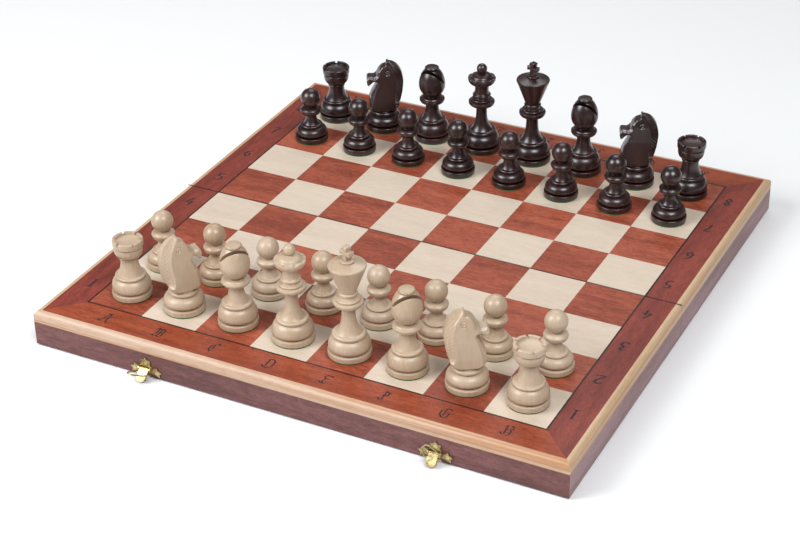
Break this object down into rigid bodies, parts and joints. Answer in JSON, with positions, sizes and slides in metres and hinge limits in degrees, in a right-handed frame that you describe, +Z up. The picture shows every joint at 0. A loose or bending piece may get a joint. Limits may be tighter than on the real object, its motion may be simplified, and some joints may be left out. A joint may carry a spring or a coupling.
{
  "type": "chess set with board",
  "caption": "Folding wooden box chess board with inlaid squares, brass draw latches and a full set of turned, felt-based pieces standing in their starting places.",
  "frame": {"origin": "middle of the board's underside, on the fold line", "axes": "+X along the near edge from file A to file H, +Y from rank 1 (white) to rank 8 (black), +Z up"},
  "size_m": [0.465, 0.4921, 0.1278],
  "materials": {
    "birch_panel": "bare sanded ply",
    "pale_maple": "satin lacquer",
    "mahogany": "satin lacquer over straight grain",
    "black_line": "satin lacquer",
    "edge_strip_wood": "satin lacquer",
    "dark_rail_wood": "satin lacquer",
    "antique_brass": "dull, slightly tarnished",
    "brass_screw": "bright slotted heads",
    "pale_hornbeam": "satin lacquer",
    "dark_stained_wood": "gloss lacquer",
    "green_felt": "matt",
    "burnt_letter": "matt scorched"
  },
  "bodies": {
    "near half": {"near_panel": "birch_panel", "near_light_squares": "pale_maple", "near_dark_squares": "mahogany", "near_border_veneer": "mahogany", "near_inlay_line": "black_line", "near_edge_strip": "edge_strip_wood", "near_end_rail": "dark_rail_wood", "near_side_rails": "dark_rail_wood", "near_spine_rail": "dark_rail_wood", "near_hinge_leaves": "antique_brass", "near_fasteners": "brass_screw", "clasp_plates": "antique_brass"},
    "far half": {"far_panel": "birch_panel", "far_light_squares": "pale_maple", "far_dark_squares": "mahogany", "far_border_veneer": "mahogany", "far_inlay_line": "black_line", "far_edge_strip": "edge_strip_wood", "far_end_rail": "dark_rail_wood", "far_side_rails": "dark_rail_wood", "far_spine_rail": "dark_rail_wood", "far_hinge_leaves": "antique_brass", "far_fasteners": "brass_screw", "catches": "antique_brass"},
    "left lever": {"left_lever": "antique_brass"},
    "right lever": {"right_lever": "antique_brass"},
    "left loop": {"left_loop": "antique_brass"},
    "right loop": {"right_loop": "antique_brass"},
    "white rook a": {"white_rook_a": "pale_hornbeam"},
    "white knight b": {"white_knight_b": "pale_hornbeam"},
    "white bishop c": {"white_bishop_c": "pale_hornbeam"},
    "white queen d": {"white_queen_d": "pale_hornbeam"},
    "white king e": {"white_king_e": "pale_hornbeam"},
    "white bishop f": {"white_bishop_f": "pale_hornbeam"},
    "white knight g": {"white_knight_g": "pale_hornbeam"},
    "white rook h": {"white_rook_h": "pale_hornbeam"},
    "white pawn a": {"white_pawn_a": "pale_hornbeam"},
    "white pawn b": {"white_pawn_b": "pale_hornbeam"},
    "white pawn c": {"white_pawn_c": "pale_hornbeam"},
    "white pawn d": {"white_pawn_d": "pale_hornbeam"},
    "white pawn e": {"white_pawn_e": "pale_hornbeam"},
    "white pawn f": {"white_pawn_f": "pale_hornbeam"},
    "white pawn g": {"white_pawn_g": "pale_hornbeam"},
    "white pawn h": {"white_pawn_h": "pale_hornbeam"},
    "black rook a": {"black_rook_a": "dark_stained_wood"},
    "black knight b": {"black_knight_b": "dark_stained_wood"},
    "black bishop c": {"black_bishop_c": "dark_stained_wood"},
    "black queen d": {"black_queen_d": "dark_stained_wood"},
    "black king e": {"black_king_e": "dark_stained_wood"},
    "black bishop f": {"black_bishop_f": "dark_stained_wood"},
    "black knight g": {"black_knight_g": "dark_stained_wood"},
    "black rook h": {"black_rook_h": "dark_stained_wood"},
    "black pawn a": {"black_pawn_a": "dark_stained_wood"},
    "black pawn b": {"black_pawn_b": "dark_stained_wood"},
    "black pawn c": {"black_pawn_c": "dark_stained_wood"},
    "black pawn d": {"black_pawn_d": "dark_stained_wood"},
    "black pawn e": {"black_pawn_e": "dark_stained_wood"},
    "black pawn f": {"black_pawn_f": "dark_stained_wood"},
    "black pawn g": {"black_pawn_g": "dark_stained_wood"},
    "black pawn h": {"black_pawn_h": "dark_stained_wood"}
  },
  "joints": [
    {"name": "fold", "type": "hinge", "parent": "near half", "child": "far half", "pos_m": [0, 0.00015, -0.00015], "axis": [-1, 0, 0], "range_deg": [0, 180]},
    {"name": "left_lever_turn", "type": "hinge", "parent": "near half", "child": "left lever", "pos_m": [-0.1265, -0.2351, 0.0075], "axis": [-1, 0, 0], "range_deg": [-50, 129]},
    {"name": "right_lever_turn", "type": "hinge", "parent": "near half", "child": "right lever", "pos_m": [0.1265, -0.2351, 0.0075], "axis": [-1, 0, 0], "range_deg": [-20, 129]},
    {"name": "left_loop_turn", "type": "hinge", "parent": "left lever", "child": "left loop", "pos_m": [-0.1265, -0.23821, 0.00498], "axis": [-1, 0, 0], "range_deg": [-251.9, 97.9]},
    {"name": "right_loop_turn", "type": "hinge", "parent": "right lever", "child": "right loop", "pos_m": [0.1265, -0.23821, 0.00498], "axis": [-1, 0, 0], "range_deg": [-286.9, 44.9]},
    {"name": "lift_white_rook_a", "type": "slide", "parent": "near half", "child": "white rook a", "axis": [0, 0, 1], "range_m": [0, 0.12]},
    {"name": "lift_white_knight_b", "type": "slide", "parent": "near half", "child": "white knight b", "axis": [0, 0, 1], "range_m": [0, 0.12]},
    {"name": "lift_white_bishop_c", "type": "slide", "parent": "near half", "child": "white bishop c", "axis": [0, 0, 1], "range_m": [0, 0.12]},
    {"name": "lift_white_queen_d", "type": "slide", "parent": "near half", "child": "white queen d", "axis": [0, 0, 1], "range_m": [0, 0.12]},
    {"name": "lift_white_king_e", "type": "slide", "parent": "near half", "child": "white king e", "axis": [0, 0, 1], "range_m": [0, 0.12]},
    {"name": "lift_white_bishop_f", "type": "slide", "parent": "near half", "child": "white bishop f", "axis": [0, 0, 1], "range_m": [0, 0.12]},
    {"name": "lift_white_knight_g", "type": "slide", "parent": "near half", "child": "white knight g", "axis": [0, 0, 1], "range_m": [0, 0.12]},
    {"name": "lift_white_rook_h", "type": "slide", "parent": "near half", "child": "white rook h", "axis": [0, 0, 1], "range_m": [0, 0.12]},
    {"name": "lift_white_pawn_a", "type": "slide", "parent": "near half", "child": "white pawn a", "axis": [0, 0, 1], "range_m": [0, 0.12]},
    {"name": "lift_white_pawn_b", "type": "slide", "parent": "near half", "child": "white pawn b", "axis": [0, 0, 1], "range_m": [0, 0.12]},
    {"name": "lift_white_pawn_c", "type": "slide", "parent": "near half", "child": "white pawn c", "axis": [0, 0, 1], "range_m": [0, 0.12]},
    {"name": "lift_white_pawn_d", "type": "slide", "parent": "near half", "child": "white pawn d", "axis": [0, 0, 1], "range_m": [0, 0.12]},
    {"name": "lift_white_pawn_e", "type": "slide", "parent": "near half", "child": "white pawn e", "axis": [0, 0, 1], "range_m": [0, 0.12]},
    {"name": "lift_white_pawn_f", "type": "slide", "parent": "near half", "child": "white pawn f", "axis": [0, 0, 1], "range_m": [0, 0.12]},
    {"name": "lift_white_pawn_g", "type": "slide", "parent": "near half", "child": "white pawn g", "axis": [0, 0, 1], "range_m": [0, 0.12]},
    {"name": "lift_white_pawn_h", "type": "slide", "parent": "near half", "child": "white pawn h", "axis": [0, 0, 1], "range_m": [0, 0.12]},
    {"name": "lift_black_rook_a", "type": "slide", "parent": "far half", "child": "black rook a", "axis": [0, 0, 1], "range_m": [0, 0.12]},
    {"name": "lift_black_knight_b", "type": "slide", "parent": "far half", "child": "black knight b", "axis": [0, 0, 1], "range_m": [0, 0.12]},
    {"name": "lift_black_bishop_c", "type": "slide", "parent": "far half", "child": "black bishop c", "axis": [0, 0, 1], "range_m": [0, 0.12]},
    {"name": "lift_black_queen_d", "type": "slide", "parent": "far half", "child": "black queen d", "axis": [0, 0, 1], "range_m": [0, 0.12]},
    {"name": "lift_black_king_e", "type": "slide", "parent": "far half", "child": "black king e", "axis": [0, 0, 1], "range_m": [0, 0.12]},
    {"name": "lift_black_bishop_f", "type": "slide", "parent": "far half", "child": "black bishop f", "axis": [0, 0, 1], "range_m": [0, 0.12]},
    {"name": "lift_black_knight_g", "type": "slide", "parent": "far half", "child": "black knight g", "axis": [0, 0, 1], "range_m": [0, 0.12]},
    {"name": "lift_black_rook_h", "type": "slide", "parent": "far half", "child": "black rook h", "axis": [0, 0, 1], "range_m": [0, 0.12]},
    {"name": "lift_black_pawn_a", "type": "slide", "parent": "far half", "child": "black pawn a", "axis": [0, 0, 1], "range_m": [0, 0.12]},
    {"name": "lift_black_pawn_b", "type": "slide", "parent": "far half", "child": "black pawn b", "axis": [0, 0, 1], "range_m": [0, 0.12]},
    {"name": "lift_black_pawn_c", "type": "slide", "parent": "far half", "child": "black pawn c", "axis": [0, 0, 1], "range_m": [0, 0.12]},
    {"name": "lift_black_pawn_d", "type": "slide", "parent": "far half", "child": "black pawn d", "axis": [0, 0, 1], "range_m": [0, 0.12]},
    {"name": "lift_black_pawn_e", "type": "slide", "parent": "far half", "child": "black pawn e", "axis": [0, 0, 1], "range_m": [0, 0.12]},
    {"name": "lift_black_pawn_f", "type": "slide", "parent": "far half", "child": "black pawn f", "axis": [0, 0, 1], "range_m": [0, 0.12]},
    {"name": "lift_black_pawn_g", "type": "slide", "parent": "far half", "child": "black pawn g", "axis": [0, 0, 1], "range_m": [0, 0.12]},
    {"name": "lift_black_pawn_h", "type": "slide", "parent": "far half", "child": "black pawn h", "axis": [0, 0, 1], "range_m": [0, 0.12]}
  ],
  "couplings": [
    {"joint": "left_loop_turn", "follows": "left_lever_turn", "ratio": -1.9488},
    {"joint": "right_loop_turn", "follows": "right_lever_turn", "ratio": -2.2202}
  ]
}
